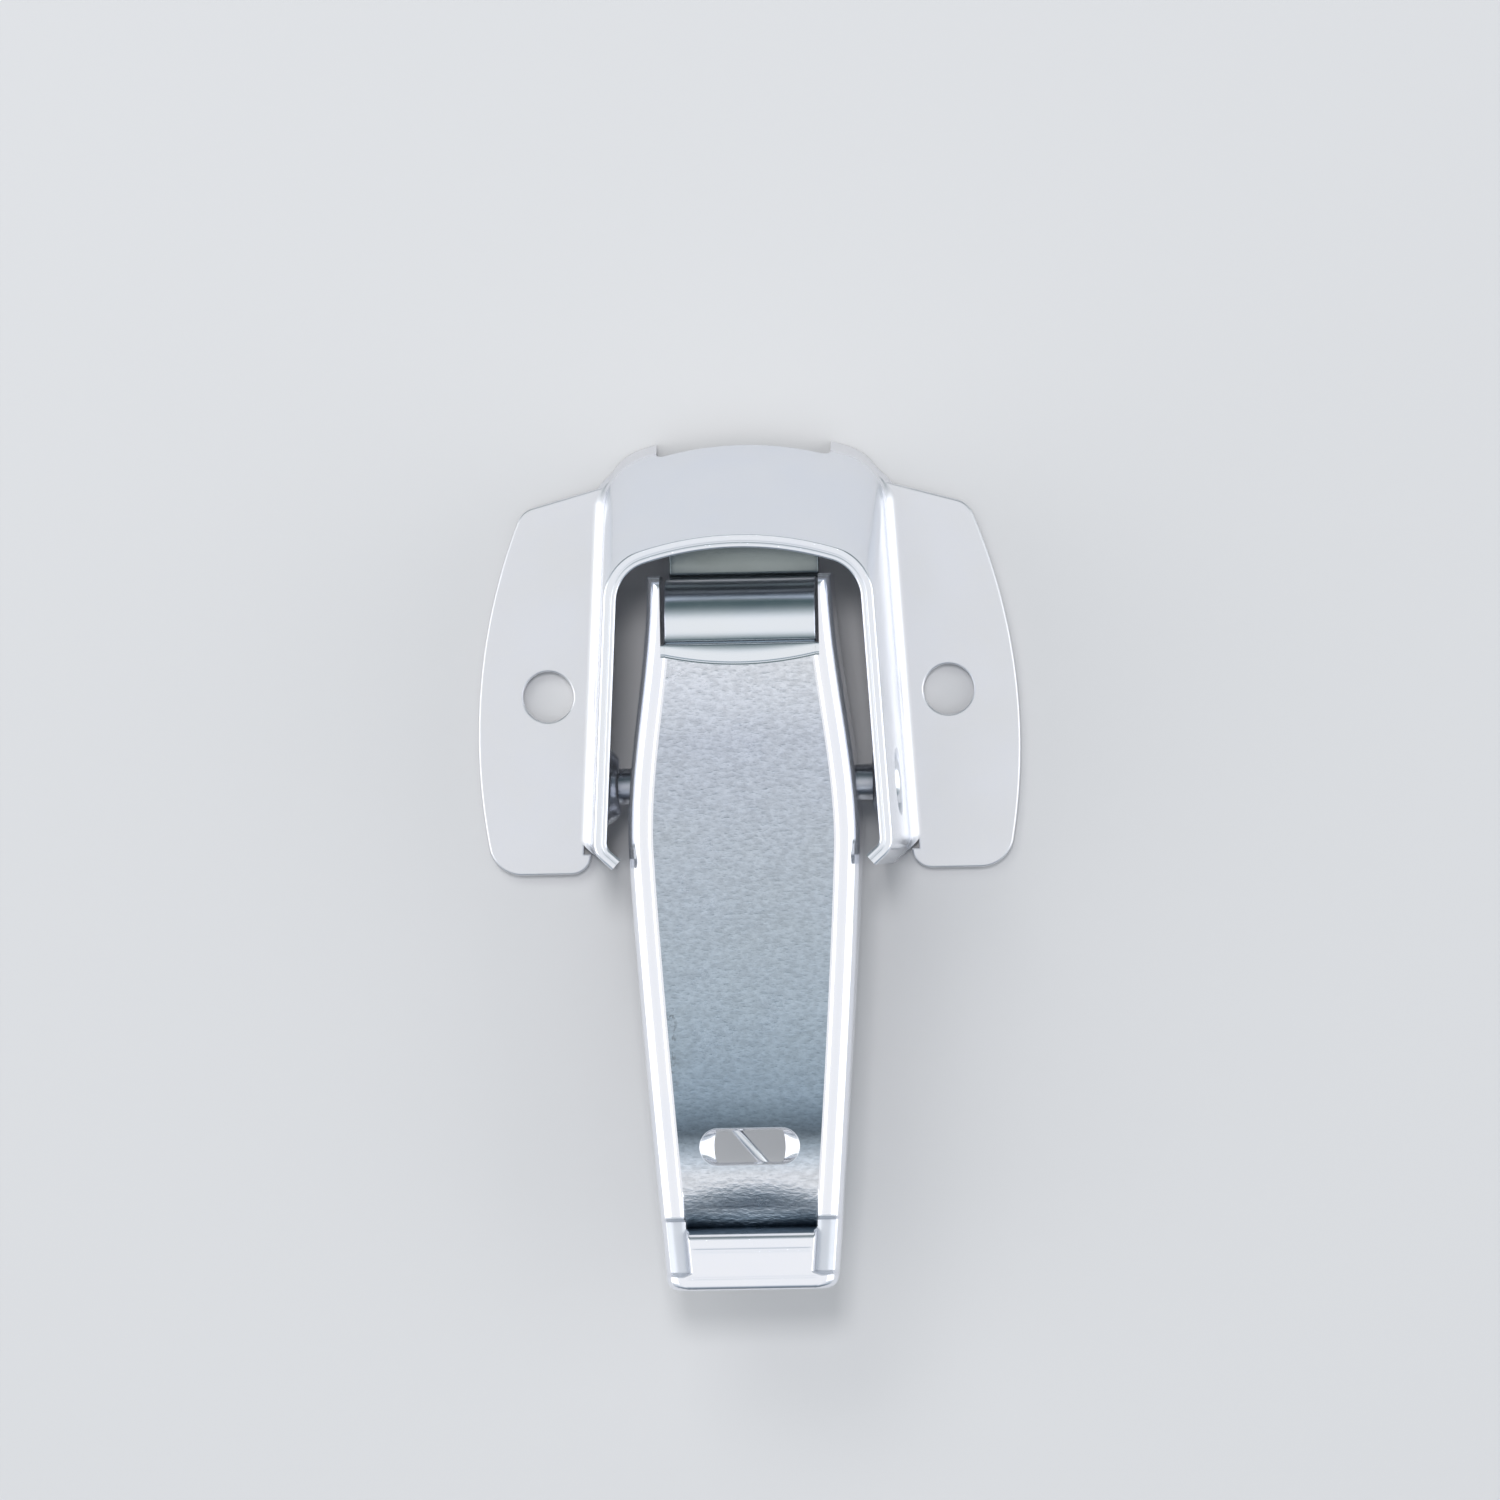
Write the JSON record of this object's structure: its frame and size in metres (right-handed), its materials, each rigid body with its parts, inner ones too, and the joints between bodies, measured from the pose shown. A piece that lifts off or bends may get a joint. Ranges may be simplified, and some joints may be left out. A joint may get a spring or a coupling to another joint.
{
  "type": "screen door catch",
  "caption": "Surface screen door catch: arched hood with two screw ears and a spring-held rocking lever with a nose tongue and a finger lip.",
  "frame": {"origin": "midway between the two screw holes, on the flat back of the ears that lies against the door", "axes": "+X to the right as seen from the front, +Y toward the closed arched end of the hood and the lever's nose, +Z away from the door toward the viewer"},
  "size_m": [0.0454, 0.0701, 0.018],
  "materials": {
    "zinc_case": "bright zinc plate, satin on the ears",
    "zinc_lever": "bright zinc plate over a finely textured face, smooth shoulders",
    "steel_pin": "turned steel",
    "spring_wire": "drawn spring wire"
  },
  "bodies": {
    "case_body": {"case": "zinc_case", "pivot_pin": "steel_pin"},
    "lever_body": {"lever": "zinc_lever", "lever_spring": "spring_wire"}
  },
  "joints": [
    {"name": "lever_pivot", "type": "hinge", "parent": "case_body", "child": "lever_body", "pos_m": [0, -0.0076, 0.0085], "axis": [1, 0, 0], "range_deg": [0, 12], "stiffness_Nm_per_rad": 0.055, "springref_deg": -28.65, "deforming": ["lever_spring"]}
  ]
}
